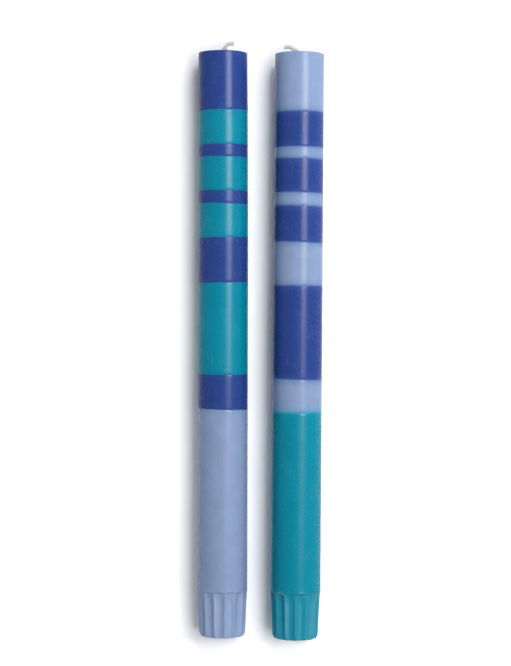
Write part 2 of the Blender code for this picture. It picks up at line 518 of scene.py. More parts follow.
def foot_end_rows(inner):
    """The end face, from the rim in to the wick."""
    rows = []
    for ring in range(1, END_RINGS + 1):
        radius = inner + (BORE_RADIUS - inner) * ring / END_RINGS
        share = max(0.0, 1 - (radius - BORE_RADIUS) / END_HOLLOW_REACH)
        rows.append((radius, END_HOLLOW * share ** 2))
    return rows


def make_foot(candle):
    node = candle.pours[-1]
    last_edge = len(candle.edges) - 1

    def section(angle):
        offset = (angle - candle.flute_turn) % PITCH - PITCH / 2
        top_face = face_rows(candle, last_edge, angle)
        rows = list(reversed(top_face))
        rows += foot_wall_rows(candle, angle, offset, top_face[0][1] - SEAM_WIDTH)
        rows += foot_step_rows(candle, angle, offset)
        rows += foot_groove_rows(candle, angle, offset)
        end_wall = rows[-1][0]
        rows += [rim_point(end_wall, 0.0, step, -1) for step in range(1, RIM_STEPS + 1)]
        return rows + foot_end_rows(rows[-1][0])

    mesh = turned_mesh(node + "_wax", section, FLUTE_COUNT * POINTS_PER_FLUTE, candle.flute_turn)
    return place_piece(candle, node + "_wax", mesh, node)


for candle in (left, right):
    wax_pieces[candle.pours[-1]] = make_foot(candle)
print("feet:", left.pours[-1], right.pours[-1], "with", FLUTE_COUNT, "flutes")

# %% [markdown]
# ## The path of the wick
#
# The wick runs up the middle, comes out of the tip and was bent over by hand, once close to the
# wax and once more further out. The path is written as turns: from one distance past the tip's
# face to another, the wick turns by so many degrees. Small steps along the turning direction give
# the places. For a braid, each point of the path also needs two directions square to it that
# don't spin. The path bends in one plane, so the direction square to that plane is the same
# everywhere, and the other is worked out from it.

# %% Wick path
WICK_RADIUS = 0.0009
FIBRE_LENGTH = 0.0004
PATH_STEP = 0.00005
left.wick_turns = ((0.0003, 0.0018, 36), (0.0034, 0.0054, 46))
right.wick_turns = ((0.0003, 0.0013, -63), (0.0052, 0.0069, -40))
left.wick_reach = 0.0075
right.wick_reach = 0.0083


def wick_heading(candle, past_face):
    """The way the wick points at a distance past the tip's face."""
    angle = 0.0
    for start, end, degrees in candle.wick_turns:
        share = min(1.0, max(0.0, (past_face - start) / (end - start)))
        angle += math.radians(degrees) * share
    return Vector((math.sin(angle), 0, math.cos(angle)))


def wick_places(candle):
    """Places along the bent end, PATH_STEP apart."""
    places = [Vector((0, 0, candle.length))]
    for step in range(math.ceil((candle.wick_reach + FIBRE_LENGTH) / PATH_STEP) + 2):
        heading = wick_heading(candle, (step + 0.5) * PATH_STEP)
        places.append(places[-1] + heading * PATH_STEP)
    return places


def wick_point(candle, distance):
    """Place and heading on the wick at a distance from the foot."""
    if distance <= candle.length:
        return Vector((0, 0, distance)), Vector((0, 0, 1))
    past_face = distance - candle.length
    step = int(past_face / PATH_STEP)
    place = candle.places[step].lerp(candle.places[step + 1], past_face / PATH_STEP - step)
    return place, wick_heading(candle, past_face)


def wick_length(candle):
    return candle.length + candle.wick_reach


def off_axis(candle, distance, angle, radius):
    """A point beside the wick's middle line."""
    place, heading = wick_point(candle, distance)
    binormal = Vector((0, 1, 0))
    normal = binormal.cross(heading)
    return place + (normal * math.cos(angle) + binormal * math.sin(angle)) * radius


for candle in (left, right):
    candle.places = wick_places(candle)
    print(candle.side, "wick length mm", round(wick_length(candle) * 1000, 2))

# %% [markdown]
# ## The braid
#
# Candle wick is cotton yarn braided round itself: here four yarns wind one way and four the
# other, and each passes over one and under the next. A yarn's distance from the middle swings
# with a cosine, and the two directions swing opposite ways, so at each crossing one is out and
# the other in. The yarns are flat ribbons with round edges, as soft yarn under tension is. Only
# the ends that show are braided. Inside the wax a plain round core carries on.

# %% Tubes of yarn
YARNS_EACH_WAY = 4
BRAID_PITCH = 0.0052
YARN_CENTRE = 0.00070
YARN_SWING = 0.00013
YARN_HALF_WIDTH = 0.00040
YARN_HALF_THICKNESS = 0.00014
YARN_SIDES = 10
STEPS_PER_PITCH = 40


def tube_between(bm, uv_layer, rings):
    """Skin a list of rings of points and cap both ends. The uv map runs round and along."""
    vertices = [[bm.verts.new(point) for point in ring] for ring in rings]
    count = len(vertices[0])
    for row, (ring, after) in enumerate(zip(vertices, vertices[1:])):
        for corner in range(count):
            beside = (corner + 1) % count
            face = bm.faces.new((ring[corner], ring[beside], after[beside], after[corner]))
            turns = (corner, corner + 1, corner + 1, corner)
            rows = (row, row, row + 1, row + 1)
            for loop, turn, along in zip(face.loops, turns, rows):
                loop[uv_layer].uv = (turn / count, along / STEPS_PER_PITCH)
    bm.faces.new(vertices[0])
    bm.faces.new(list(reversed(vertices[-1])))


def yarn_rings(candle, direction, phase, start, end):
    """Rings of points round one yarn of the braid."""
    rings = []
    count = max(2, round((end - start) / BRAID_PITCH * STEPS_PER_PITCH))
    for step in range(count + 1):
        distance = start + (end - start) * step / count
        winding = 2 * math.pi * distance / BRAID_PITCH
        angle = phase + direction * winding
        middle = YARN_CENTRE + direction * YARN_SWING * math.cos(YARNS_EACH_WAY * winding)
        ring = []
        for side in range(YARN_SIDES):
            turn = 2 * math.pi * side / YARN_SIDES
            radius = middle + YARN_HALF_THICKNESS * math.sin(turn)
            sideways = YARN_HALF_WIDTH * math.cos(turn) / YARN_CENTRE
            ring.append(off_axis(candle, distance, angle + sideways, radius))
        rings.append(ring)
    return rings


# %% [markdown]
# ## The whole wick
#
# One wick is one piece: the core, the braided stretch at the tip, a short braided stretch at the
# foot, and loose fibres where scissors cut the yarn. The yarns end a fibre's length short of the
# wick's reach, and the longest fibres make up the rest. Chance places the fibres, from a
# generator with a fixed seed, so that they come out the same each time.

# %% Make the wicks
CORE_RADIUS = 0.00052
CORE_SIDES = 12
CORE_INSET = 0.0001           # how far the core stays inside the yarns' ends
CORE_BENT_STOPS = 32
HIDDEN_BRAID = 0.003
YARN_SHARP_ANGLE = math.radians(50)
FIBRE_COUNT = 26
FIBRE_RADIUS = 0.00003
FIBRE_SIDES = 5
FIBRE_STEPS = 4
FIBRE_PLACE = (0.1, 0.78)     # distance from the middle, in wick radii
FIBRE_REACH = (0.3, 1.0)      # length past the cut, in fibre lengths
FIBRE_CURL = (-0.12, 0.16)    # how far the end curls outwards, in wick radii
FIBRE_TWIST = 0.2
FIBRE_TAPER = 0.6
FIBRE_SEED = 12
rng = np.random.default_rng(FIBRE_SEED)


def core_rings(candle, stops):
    return [[off_axis(candle, stop, 2 * math.pi * side / CORE_SIDES, CORE_RADIUS)
             for side in range(CORE_SIDES)] for stop in stops]


def fibre_rings(candle, end):
    """A short stray fibre that starts inside the cut end and curls outwards or inwards."""
    angle = rng.uniform(0, 2 * math.pi)
    radius = rng.uniform(*FIBRE_PLACE) * WICK_RADIUS
    reach = rng.uniform(*FIBRE_REACH) * FIBRE_LENGTH
    curl = rng.uniform(*FIBRE_CURL) * WICK_RADIUS
    heading = wick_point(candle, end)[1]
    across = heading.orthogonal().normalized()
    beside = heading.cross(across)
    rings = []
    for step in range(FIBRE_STEPS + 1):
        share = step / FIBRE_STEPS
        middle = off_axis(candle, end - FIBRE_LENGTH / 2 + share * (FIBRE_LENGTH / 2 + reach),
                          angle + share * FIBRE_TWIST, radius + curl * share ** 2)
        width = FIBRE_RADIUS * (1 - FIBRE_TAPER * share)
        turns = [2 * math.pi * side / FIBRE_SIDES for side in range(FIBRE_SIDES)]
        rings.append([middle + (across * math.cos(turn) + beside * math.sin(turn)) * width
                      for turn in turns])
    return rings


def make_wick(candle):
    cut = wick_length(candle) - FIBRE_LENGTH
    bm = bmesh.new()
    uv_layer = bm.loops.layers.uv.new("yarn")
    bent_stops = np.linspace(candle.length, cut - CORE_INSET, CORE_BENT_STOPS)
    stops = [CORE_INSET, candle.length / 2, *bent_stops]
    tube_between(bm, uv_layer, core_rings(candle, stops))
    for start, end in ((0.0, HIDDEN_BRAID), (candle.length - HIDDEN_BRAID, cut)):
        for direction in (1, -1):
            for yarn in range(YARNS_EACH_WAY):
                phase = 2 * math.pi * yarn / YARNS_EACH_WAY
                tube_between(bm, uv_layer, yarn_rings(candle, direction, phase, start, end))
    for _ in range(FIBRE_COUNT):
        tube_between(bm, uv_layer, fibre_rings(candle, cut))
    bmesh.ops.recalc_face_normals(bm, faces=bm.faces)
    mesh = bpy.data.meshes.new(candle.wick_node + "_braid")
    bm.to_mesh(mesh)
    bm.free()
    mesh.shade_smooth()
    mesh.set_sharp_from_angle(angle=YARN_SHARP_ANGLE)
    return place_piece(candle, candle.wick_node + "_braid", mesh, candle.wick_node)


wicks = [make_wick(candle) for candle in (left, right)]
print("wick points:", [len(wick.data.vertices) for wick in wicks])

# %% [markdown]
# ## Small helpers for shader trees
#
# A material is a tree of nodes. A few helpers keep the cells below short. They add a node and
# fill in its sockets, do a sum, make a smooth step, blend two colours, make a node group with
# named inputs and outputs, and place a group in a material.

# %% Shader helpers
MIX_COLOURS_IN = (6, 7)       # a Mix node has sockets for every kind of value, and these are
MIX_COLOUR_OUT = 2            # the ones for colours


def add_node(tree, kind, inputs=None, **settings):
    """Add a node. inputs maps a socket's name or number to a value, or to a socket to link."""
    node = tree.nodes.new(kind)
    for setting, value in settings.items():
        setattr(node, setting, value)
    for key, value in (inputs or {}).items():
        if isinstance(value, bpy.types.NodeSocket):
            tree.links.new(value, node.inputs[key])
        else:
            node.inputs[key].default_value = value
    return node


def calculate(tree, operation, *values):
    """A Math node's result."""
    node = add_node(tree, "ShaderNodeMath", dict(enumerate(values)), operation=operation)
    return node.outputs[0]


def ramp(tree, value, low, high, start=0.0, end=1.0):
    """A smooth step from start to end while the value goes from low to high."""
    inputs = {"Value": value, "From Min": low, "From Max": high, "To Min": start, "To Max": end}
    node = add_node(tree, "ShaderNodeMapRange", inputs, interpolation_type="SMOOTHSTEP")
    return node.outputs["Result"]


def blend_colours(tree, share, first, second):
    """A mix of two colours: the first where share is 0, and the second where it is 1."""
    inputs = {"Factor": share, **dict(zip(MIX_COLOURS_IN, (first, second)))}
    return add_node(tree, "ShaderNodeMix", inputs, data_type="RGBA").outputs[MIX_COLOUR_OUT]


def new_group(name, inputs, outputs):
    """An empty node group, what it is given and what it puts out. inputs maps a name to its
    default: a vector has three numbers. An output called Colour is a colour, and any other is a
    number."""
    group = bpy.data.node_groups.new(name, "ShaderNodeTree")
    for socket_name, default in inputs.items():
        kind = "NodeSocketVector" if isinstance(default, tuple) else "NodeSocketFloat"
        socket = group.interface.new_socket(socket_name, in_out="INPUT", socket_type=kind)
        socket.default_value = default
    for socket_name in outputs:
        kind = "NodeSocketColor" if socket_name == "Colour" else "NodeSocketFloat"
        group.interface.new_socket(socket_name, in_out="OUTPUT", socket_type=kind)
    given = group.nodes.new("NodeGroupInput").outputs
    result = group.nodes.new("NodeGroupOutput").inputs
    return group, given, result


def place_group(tree, group, **values):
    """Place a group. An input's name is written with _ for a space."""
    node = tree.nodes.new("ShaderNodeGroup")
    node.node_tree = group
    for key, value in values.items():
        socket = node.inputs[key.replace("_", " ")]
        if isinstance(value, bpy.types.NodeSocket):
            tree.links.new(value, socket)
        else:
            socket.default_value = value
    return node.outputs


# %% [markdown]
# ## Where two colours meet
#
# Hot wax melts the top of the pour below it, so dye wanders over the join. The group turns a
# point's height into a mask that goes from 0 below a join to 1 above it, with the join's tilt and
# a little waviness. Most of the change happens within Blur, and a share of it, Bleed, is spread
# over several millimetres, as dye that crept further. The group also puts out a thin line along
# the join, where fine bubbles and a shrinkage hairline catch the light. Both pours beside a join
# use the same values, so the stripes run on across the seam.

# %% Group: pour edge
WANDER_NOISE = {"Scale": 260.0, "Detail": 3.0, "Roughness": 0.55}
WAVE_GAIN = 4.0               # noise keeps near its middle, so this spreads it out


def build_pour_edge():
    inputs = {"Position": (0.0, 0.0, 0.0), "Height": 0.1, "Slope": 0.0, "Blur": 0.001,
              "Bleed": 0.2, "Bleed Width": 0.008, "Waviness": 0.0001, "Line Width": 0.0003}
    group, given, result = new_group("Pour Edge", inputs, ("Above", "Line"))
    place = add_node(group, "ShaderNodeSeparateXYZ", {0: given["Position"]}).outputs
    tilt = calculate(group, "MULTIPLY", place["X"], given["Slope"])
    level = calculate(group, "ADD", place["Z"], tilt)
    wander = add_node(group, "ShaderNodeTexNoise", {"Vector": given["Position"], **WANDER_NOISE})
    centred = calculate(group, "SUBTRACT", wander.outputs["Fac"], 0.5)
    wave = calculate(group, "MULTIPLY", centred, given["Waviness"])
    waved = calculate(group, "MULTIPLY_ADD", wave, WAVE_GAIN, level)
    distance = calculate(group, "SUBTRACT", waved, given["Height"])
    crisp, wide = [ramp(group, distance, calculate(group, "MULTIPLY", given[width], -0.5),
                        calculate(group, "MULTIPLY", given[width], 0.5))
                   for width in ("Blur", "Bleed Width")]
    further = calculate(group, "SUBTRACT", wide, crisp)
    above = calculate(group, "MULTIPLY_ADD", further, given["Bleed"], crisp)
    group.links.new(above, result["Above"])
    away = calculate(group, "ABSOLUTE", distance)
    group.links.new(ramp(group, away, 0.0, given["Line Width"], 1.0, 0.0), result["Line"])
    return group


pour_edge = build_pour_edge()
print("group:", pour_edge.name)

# %% [markdown]
# ## The body of the wax
#
# Wax sets as a mass of fine crystals, which shows as a faint cloudiness some millimetres wide and
# a grain under a millimetre. Noise at two sizes gives both. Neither is strong: on the photograph
# the grain only shows where the highlight breaks up over it.

# %% Group: wax body
BODY_DETAIL = {"Cloud": 3.0, "Grain": 4.0}
BODY_ROUGHNESS = 0.55
BODY_RANGE = (0.25, 0.75)     # noise from the low to the high number becomes 0 to 1


def build_wax_body():
    inputs = {"Position": (0.0, 0.0, 0.0), "Cloud Size": 0.006, "Grain Size": 0.0008}
    group, given, result = new_group("Wax Body", inputs, tuple(BODY_DETAIL))
    for name, detail in BODY_DETAIL.items():
        scale = calculate(group, "DIVIDE", 1.0, given[name + " Size"])
        texture = add_node(group, "ShaderNodeTexNoise", {
            "Vector": given["Position"], "Scale": scale, "Detail": detail,
            "Roughness": BODY_ROUGHNESS})
        group.links.new(ramp(group, texture.outputs["Fac"], *BODY_RANGE), result[name])
    return group


wax_body = build_wax_body()
print("group:", wax_body.name)

# %% [markdown]
# ## Marks of the mould and of handling
#
# The candle is pulled out of a long tube, which leaves faint lines along it. In the box it rubs
# on others, which leaves short scuffs and a few specks of bloom. The lines are noise squeezed
# across and stretched along the candle. The scuffs are thinner noise at a slant, kept to patches
# by a wider noise, and the specks are the middles of scattered Voronoi cells.

# %% Group: surface marks
LINE_ACROSS, LINE_ALONG = 0.0011, 0.09
SCUFF_ACROSS, SCUFF_ALONG = 0.00025, 0.006
SCUFF_SLANT = 0.35
PATCHES_PER_METRE = 90.0
CELLS_PER_METRE = 210.0
LINE_RANGE, SCUFF_RANGE, PATCH_RANGE = (0.3, 0.7), (0.60, 0.74), (0.48, 0.66)
SPECK_RANGE = (0.80, 0.82)    # only cells whose random red lies above this have a speck


def stretched_noise(tree, position, across, along, slant, detail):
    """Noise as wide as `across` and as long as `along` in metres, turned by the slant."""
    turned = add_node(tree, "ShaderNodeMapping", {
        "Vector": position, "Rotation": (slant, slant, 0.0)}).outputs[0]
    squeezed = add_node(tree, "ShaderNodeMapping", {
        "Vector": turned, "Scale": (1 / across, 1 / across, 1 / along)}).outputs[0]
    inputs = {"Vector": squeezed, "Scale": 1.0, "Detail": detail}
    return add_node(tree, "ShaderNodeTexNoise", inputs).outputs["Fac"]


def build_surface_marks():
    inputs = {"Position": (0.0, 0.0, 0.0), "Speck Size": 0.00016}
    group, given, result = new_group("Surface Marks", inputs, ("Draw Lines", "Scuffs", "Specks"))
    position = given["Position"]
    lines = stretched_noise(group, position, LINE_ACROSS, LINE_ALONG, 0.0, 2.0)
    group.links.new(ramp(group, lines, *LINE_RANGE), result["Draw Lines"])
    scratches = stretched_noise(group, position, SCUFF_ACROSS, SCUFF_ALONG, SCUFF_SLANT, 1.0)
    fine = ramp(group, scratches, *SCUFF_RANGE)
    patches = add_node(group, "ShaderNodeTexNoise", {"Vector": position,
                                                     "Scale": PATCHES_PER_METRE})
    patch = ramp(group, patches.outputs["Fac"], *PATCH_RANGE)
    group.links.new(calculate(group, "MULTIPLY", fine, patch), result["Scuffs"])
    cells = add_node(group, "ShaderNodeTexVoronoi", {"Vector": position,
                                                     "Scale": CELLS_PER_METRE})
    reach = calculate(group, "MULTIPLY", given["Speck Size"], CELLS_PER_METRE)
    dot = ramp(group, cells.outputs["Distance"], 0.0, reach, 1.0, 0.0)
    chance = add_node(group, "ShaderNodeSeparateColor", {0: cells.outputs["Color"]}).outputs[0]
    rare = ramp(group, chance, *SPECK_RANGE)
    group.links.new(calculate(group, "MULTIPLY", dot, rare), result["Specks"])
    return group


surface_marks = build_surface_marks()
print("group:", surface_marks.name)

# %% [markdown]
# ## Marks of the cutter
#
# The cutter that makes the flutes leaves the wax in them finely scratched, so it looks frosted:
# paler and duller than the wall that the mould made smooth. At the top of each flute it pushes up a
# thin burr, whose edge catches the light. The group finds a point's place in its flute from the
# angle round the candle and works out the height of the lip there, in the same way that the mesh
# was made. Its Frost is 1 in the flutes and 0 on the wall, and its other output is a ragged line
# along the lips, where a painted highlight goes.

# %% Group: flute marks
FROST_FADE = 0.0006           # height below the lip over which the frost sets in
# The line along the lips is a painted highlight, where the burr's edge catches the light.
LIP_HIGHLIGHT_WIDTH = (0.0001, 0.0004)   # distances from the lip at which it starts to fade and ends
LIP_HIGHLIGHT_NOISE_SCALE = 260.0
LIP_HIGHLIGHT_RANGE = (0.45, 0.62)


def build_flute_marks():
    inputs = {"Position": (0.0, 0.0, 0.0), "Count": float(FLUTE_COUNT), "Turn": 0.0,
              "Top": FLUTE_LENGTH, "Arch": LIP_ARCH}
    group, given, result = new_group("Flute Marks", inputs, ("Frost", "Lip Highlight"))
    place = add_node(group, "ShaderNodeSeparateXYZ", {0: given["Position"]}).outputs
    upward = calculate(group, "MULTIPLY", place["Y"], -1.0)
    angle = calculate(group, "ARCTAN2", place["X"], upward)
    turned = calculate(group, "SUBTRACT", angle, given["Turn"])
    turns = calculate(group, "DIVIDE", turned, 2 * math.pi)
    flutes = calculate(group, "MULTIPLY", turns, given["Count"])
    nearest_ridge = calculate(group, "ROUND", flutes)
    away = calculate(group, "ABSOLUTE", calculate(group, "SUBTRACT", flutes, nearest_ridge))
    across = calculate(group, "MULTIPLY_ADD", away, -2.0, 1.0)
    arch = calculate(group, "MULTIPLY", calculate(group, "POWER", across, 2.0), given["Arch"])
    lip = calculate(group, "SUBTRACT", given["Top"], arch)
    above = calculate(group, "SUBTRACT", place["Z"], lip)
    group.links.new(ramp(group, above, -FROST_FADE, 0.0, 1.0, 0.0), result["Frost"])
    line = ramp(group, calculate(group, "ABSOLUTE", above), *LIP_HIGHLIGHT_WIDTH, 1.0, 0.0)
    ragged = add_node(group, "ShaderNodeTexNoise", {"Vector": given["Position"],
                                                    "Scale": LIP_HIGHLIGHT_NOISE_SCALE})
    kept = ramp(group, ragged.outputs["Fac"], *LIP_HIGHLIGHT_RANGE)
    group.links.new(calculate(group, "MULTIPLY", line, kept), result["Lip Highlight"])
    return group


flute_marks = build_flute_marks()
print("group:", flute_marks.name)

# %% [markdown]
# ## The colours
#
# Colours are picked as they look, in red, green and blue out of 255, and a shader wants them
# linear, so a short function converts them. Dyed wax is strong in colour and fairly dark, and
# what its gloss mirrors makes it look paler than it is.

# %% Wax colours


def to_linear(*channels):
    """A linear colour from channels as they look. The numbers are those of the sRGB curve."""
    linear = []
    for channel in channels:
        share = channel / 255
        linear.append(share / 12.92 if share <= 0.04045 else ((share + 0.055) / 1.055) ** 2.4)
    return (*linear, 1.0)


WAX = {
    "wax_blue": to_linear(40, 65, 134),
    "wax_teal": to_linear(0, 132, 156),
    "wax_pale_blue": to_linear(133, 153, 189),
}
# The pale colour of bloom, which is also painted as a highlight along the joins and the lips.
BLOOM_AND_HIGHLIGHT = to_linear(214, 222, 236)
print("waxes:", ", ".join(WAX))

# %% [markdown]
# ## How dyes mix
#
# Light that goes through two dyes is weakened by both, so where blue wax has crept into pale wax a
# little blue goes a long way. A plain mix of the two colours would look milky. So the stripes are
# mixed as densities, the negative logarithm of each colour channel. This group turns the result
# back into a colour, by raising 1/e to each density.

# %% Group: dyed wax
THICKEST_DYE = 0.0006         # no channel is weaker than this, because zero has no logarithm


def wax_density(slot):
    return (*(-math.log(max(channel, THICKEST_DYE)) for channel in WAX[slot][:3]), 1.0)


def build_dyed_wax():
    group, given, result = new_group("Dyed Wax", {"Density": (0.0, 0.0, 0.0)}, ("Colour",))
    parts = add_node(group, "ShaderNodeSeparateXYZ", {0: given["Density"]}).outputs
    channels = [calculate(group, "POWER", 1 / math.e, parts[axis]) for axis in "XYZ"]
    joined = add_node(group, "ShaderNodeCombineColor", dict(enumerate(channels)))
    group.links.new(joined.outputs[0], result["Colour"])
    return group


dyed_wax = build_dyed_wax()
print("group:", dyed_wax.name)

# %% [markdown]
# ## One finish for every pour
#
# Each pour has its own material, because each has other neighbours. The tree starts from the pour's
# own dye, mixes in the neighbours' dyes through the two edge masks, and turns the result into a
# colour. Cloudiness and draw lines make it a little lighter or darker from place to place. Specks
# and scuffs mix some pale bloom into it, and the line along the joins mixes in the same pale colour
# as a painted highlight, where the join catches the light. Grain and scuffs change the roughness,
# and with the draw lines they shape the surface through one Bump node.
#
# Only the last pour has flutes. Their frost makes the wax lighter and rougher and puts a thin rough
# coat on it, and a painted highlight in the pale bloom colour runs along the lips, where the burr's
# edge catches the light.
#
# Wax is a dielectric with an index of about 1.44. The room that it mirrors is white all round, so
# a full gloss would wash the colours out, and the specular level is low. Both are plain numbers
# on the shader. The joins of the left candle are crisp, and those of the right one are softer.

# %% Wax finish
JOIN_BLUR = {"left": 0.0006, "right": 0.0014}
JOIN_BLEED = {"left": 0.12, "right": 0.32}
EDGE_WAVINESS = 0.00009
CLOUD_SIZE = 0.007
GRAIN_SIZE = 0.0007
SPECK_SIZE = 0.00016
CLOUD_SHADES = (0.97, 1.03)
LINE_SHADES = (0.985, 1.015)
# Specks and scuffs are real bloom. The joins and the lips get the same pale colour as a painted
# highlight.
SPECK_BLOOM, SCUFF_BLOOM, JOIN_HIGHLIGHT, LIP_HIGHLIGHT = 0.4, 0.12, 0.02, 0.2
WALL_ROUGHNESS = (0.22, 0.32)
SCUFF_ROUGHNESS = 0.2
FROST_SHADE, FROST_ROUGHNESS, FROST_COAT, FROST_COAT_ROUGHNESS = 0.06, 0.2, 0.4, 0.4
LINE_RELIEF, SCUFF_RELIEF = 0.8, -0.4      # against the grain's 1
RELIEF_STRENGTH, RELIEF_HEIGHT = 0.3, 0.00003
WAX_IOR = 1.44
WAX_SPECULAR = 0.12


def slot_of(node):
    return next(s["material_slot"] for s in record["subparts"] if s["node"] == node)


def edge_masks(tree, position, candle, edge):
    return place_group(tree, pour_edge, Position=position, Height=candle.edges[edge],
                       Slope=candle.slopes[edge], Blur=JOIN_BLUR[candle.side],
                       Bleed=JOIN_BLEED[candle.side], Waviness=EDGE_WAVINESS)


def striped_colour(tree, position, candle, number):
    """The pour's colour with its neighbours' dyes mixed in, and a mask of the lines at its
    joins."""
    density = wax_density(slot_of(candle.pours[number]))
    lines = 0.0
    if number > 0:
        upper = edge_masks(tree, position, candle, number - 1)
        other = wax_density(slot_of(candle.pours[number - 1]))
        density = blend_colours(tree, upper["Above"], density, other)
        lines = upper["Line"]
    if number < len(candle.pours) - 1:
        lower = edge_masks(tree, position, candle, number)
        other = wax_density(slot_of(candle.pours[number + 1]))
        density = blend_colours(tree, lower["Above"], other, density)
        lines = calculate(tree, "MAXIMUM", lines, lower["Line"])
    return place_group(tree, dyed_wax, Density=density)["Colour"], lines


def wax_finish(candle, number):
    node = candle.pours[number]
    material = bpy.data.materials.new(node + "_finish")
    material.use_nodes = True
    tree = material.node_tree
    shader = tree.nodes["Principled BSDF"]
    position = add_node(tree, "ShaderNodeTexCoord").outputs["Object"]
    colour, lines = striped_colour(tree, position, candle, number)
    body = place_group(tree, wax_body, Position=position, Cloud_Size=CLOUD_SIZE,
                       Grain_Size=GRAIN_SIZE)
    marks = place_group(tree, surface_marks, Position=position, Speck_Size=SPECK_SIZE)
    cloudy = ramp(tree, body["Cloud"], 0.0, 1.0, *CLOUD_SHADES)
    drawn = ramp(tree, marks["Draw Lines"], 0.0, 1.0, *LINE_SHADES)
    shade = calculate(tree, "MULTIPLY", cloudy, drawn)
    # Pale bloom from specks and scuffs, and a painted highlight along the joins.
    pale = calculate(tree, "MULTIPLY", marks["Specks"], SPECK_BLOOM)
    pale = calculate(tree, "MULTIPLY_ADD", marks["Scuffs"], SCUFF_BLOOM, pale)
    pale = calculate(tree, "MULTIPLY_ADD", lines, JOIN_HIGHLIGHT, pale)
    rough = ramp(tree, body["Grain"], 0.0, 1.0, *WALL_ROUGHNESS)
    rough = calculate(tree, "MULTIPLY_ADD", marks["Scuffs"], SCUFF_ROUGHNESS, rough)
    if number == len(candle.pours) - 1:
        cut = place_group(tree, flute_marks, Position=position, Count=float(FLUTE_COUNT),
                          Turn=candle.flute_turn, Top=candle.lip, Arch=LIP_ARCH)
        shade = calculate(tree, "MULTIPLY_ADD", cut["Frost"], FROST_SHADE, shade)
        # A painted highlight along the lips, where the burr's edge catches the light.
        pale = calculate(tree, "MULTIPLY_ADD", cut["Lip Highlight"], LIP_HIGHLIGHT, pale)
        rough = calculate(tree, "MULTIPLY_ADD", cut["Frost"], FROST_ROUGHNESS, rough)
        frosted = calculate(tree, "MULTIPLY", cut["Frost"], FROST_COAT)
        tree.links.new(frosted, shader.inputs["Coat Weight"])
        shader.inputs["Coat Roughness"].default_value = FROST_COAT_ROUGHNESS
    toned = add_node(tree, "ShaderNodeHueSaturation", {"Color": colour, "Value": shade}).outputs[0]
    # Mixes in the pale bloom and the painted highlights.
    with_bloom_and_highlight = blend_colours(tree, pale, toned, BLOOM_AND_HIGHLIGHT)
    tree.links.new(with_bloom_and_highlight, shader.inputs["Base Color"])
    tree.links.new(rough, shader.inputs["Roughness"])
    height = calculate(tree, "MULTIPLY_ADD", marks["Draw Lines"], LINE_RELIEF, body["Grain"])
    height = calculate(tree, "MULTIPLY_ADD", marks["Scuffs"], SCUFF_RELIEF, height)
    bump = add_node(tree, "ShaderNodeBump", {"Height": height, "Strength": RELIEF_STRENGTH,
                                             "Distance": RELIEF_HEIGHT})
    tree.links.new(bump.outputs[0], shader.inputs["Normal"])
    shader.inputs["IOR"].default_value = WAX_IOR
    shader.inputs["Specular IOR Level"].default_value = WAX_SPECULAR
    return material


for candle in (left, right):
    for number, node in enumerate(candle.pours):
        wax_pieces[node].data.materials.append(wax_finish(candle, number))
print("wax finishes:", len(wax_pieces))

# %% [markdown]
# ## Cotton
#
# The wick is cotton, off-white and quite matt. Each yarn is a bundle of fibres that run along it
# with a slight twist. The uv map made with the braid runs round and along each yarn, so stretched
# noise on it gives the fibres, also where the yarn winds. A little sheen stands for the fuzz.

# %% Cotton finish
COTTON_LIGHT = to_linear(228, 226, 220)
COTTON_SHADE = to_linear(176, 172, 166)
FIBRES_ROUND, FIBRES_ALONG = 26.0, 9.0     # noise cells round a yarn and along a braid pitch
FIBRE_SLANT = 0.25
FIBRE_DETAIL = 3.0
FIBRE_RANGE = (0.3, 0.7)
COTTON_CLOUD, COTTON_GRAIN = 0.0012, 0.00012
COTTON_ROUGHNESS = (0.85, 0.98)
COTTON_RELIEF_STRENGTH, COTTON_RELIEF_HEIGHT = 0.8, 0.00005
COTTON_SHEEN = 0.2


def cotton_finish():
    material = bpy.data.materials.new("cotton_braid_finish")
    material.use_nodes = True
    tree = material.node_tree
    shader = tree.nodes["Principled BSDF"]
    yarn = add_node(tree, "ShaderNodeUVMap", uv_map="yarn").outputs[0]
    twisted = add_node(tree, "ShaderNodeMapping", {
        "Vector": yarn, "Scale": (FIBRES_ROUND, FIBRES_ALONG, 1.0),
        "Rotation": (0.0, 0.0, FIBRE_SLANT)}).outputs[0]
    inputs = {"Vector": twisted, "Scale": 1.0, "Detail": FIBRE_DETAIL}
    fibres = add_node(tree, "ShaderNodeTexNoise", inputs)
    strand = ramp(tree, fibres.outputs["Fac"], *FIBRE_RANGE)
    position = add_node(tree, "ShaderNodeTexCoord").outputs["Object"]
    body = place_group(tree, wax_body, Position=position, Cloud_Size=COTTON_CLOUD,
                       Grain_Size=COTTON_GRAIN)
    share = calculate(tree, "MULTIPLY", strand, body["Cloud"])
    colour = blend_colours(tree, share, COTTON_LIGHT, COTTON_SHADE)
    tree.links.new(colour, shader.inputs["Base Color"])
    rough = ramp(tree, body["Cloud"], 0.0, 1.0, *COTTON_ROUGHNESS)
    tree.links.new(rough, shader.inputs["Roughness"])
    height = calculate(tree, "MULTIPLY_ADD", body["Grain"], 0.5, strand)
    bump = add_node(tree, "ShaderNodeBump", {"Height": height, "Strength": COTTON_RELIEF_STRENGTH,
                                             "Distance": COTTON_RELIEF_HEIGHT})
    tree.links.new(bump.outputs[0], shader.inputs["Normal"])
    shader.inputs["Sheen Weight"].default_value = COTTON_SHEEN
    return material


cotton = cotton_finish()
for wick in wicks:
    wick.data.materials.append(cotton)
print("wicks finished with", cotton.name)

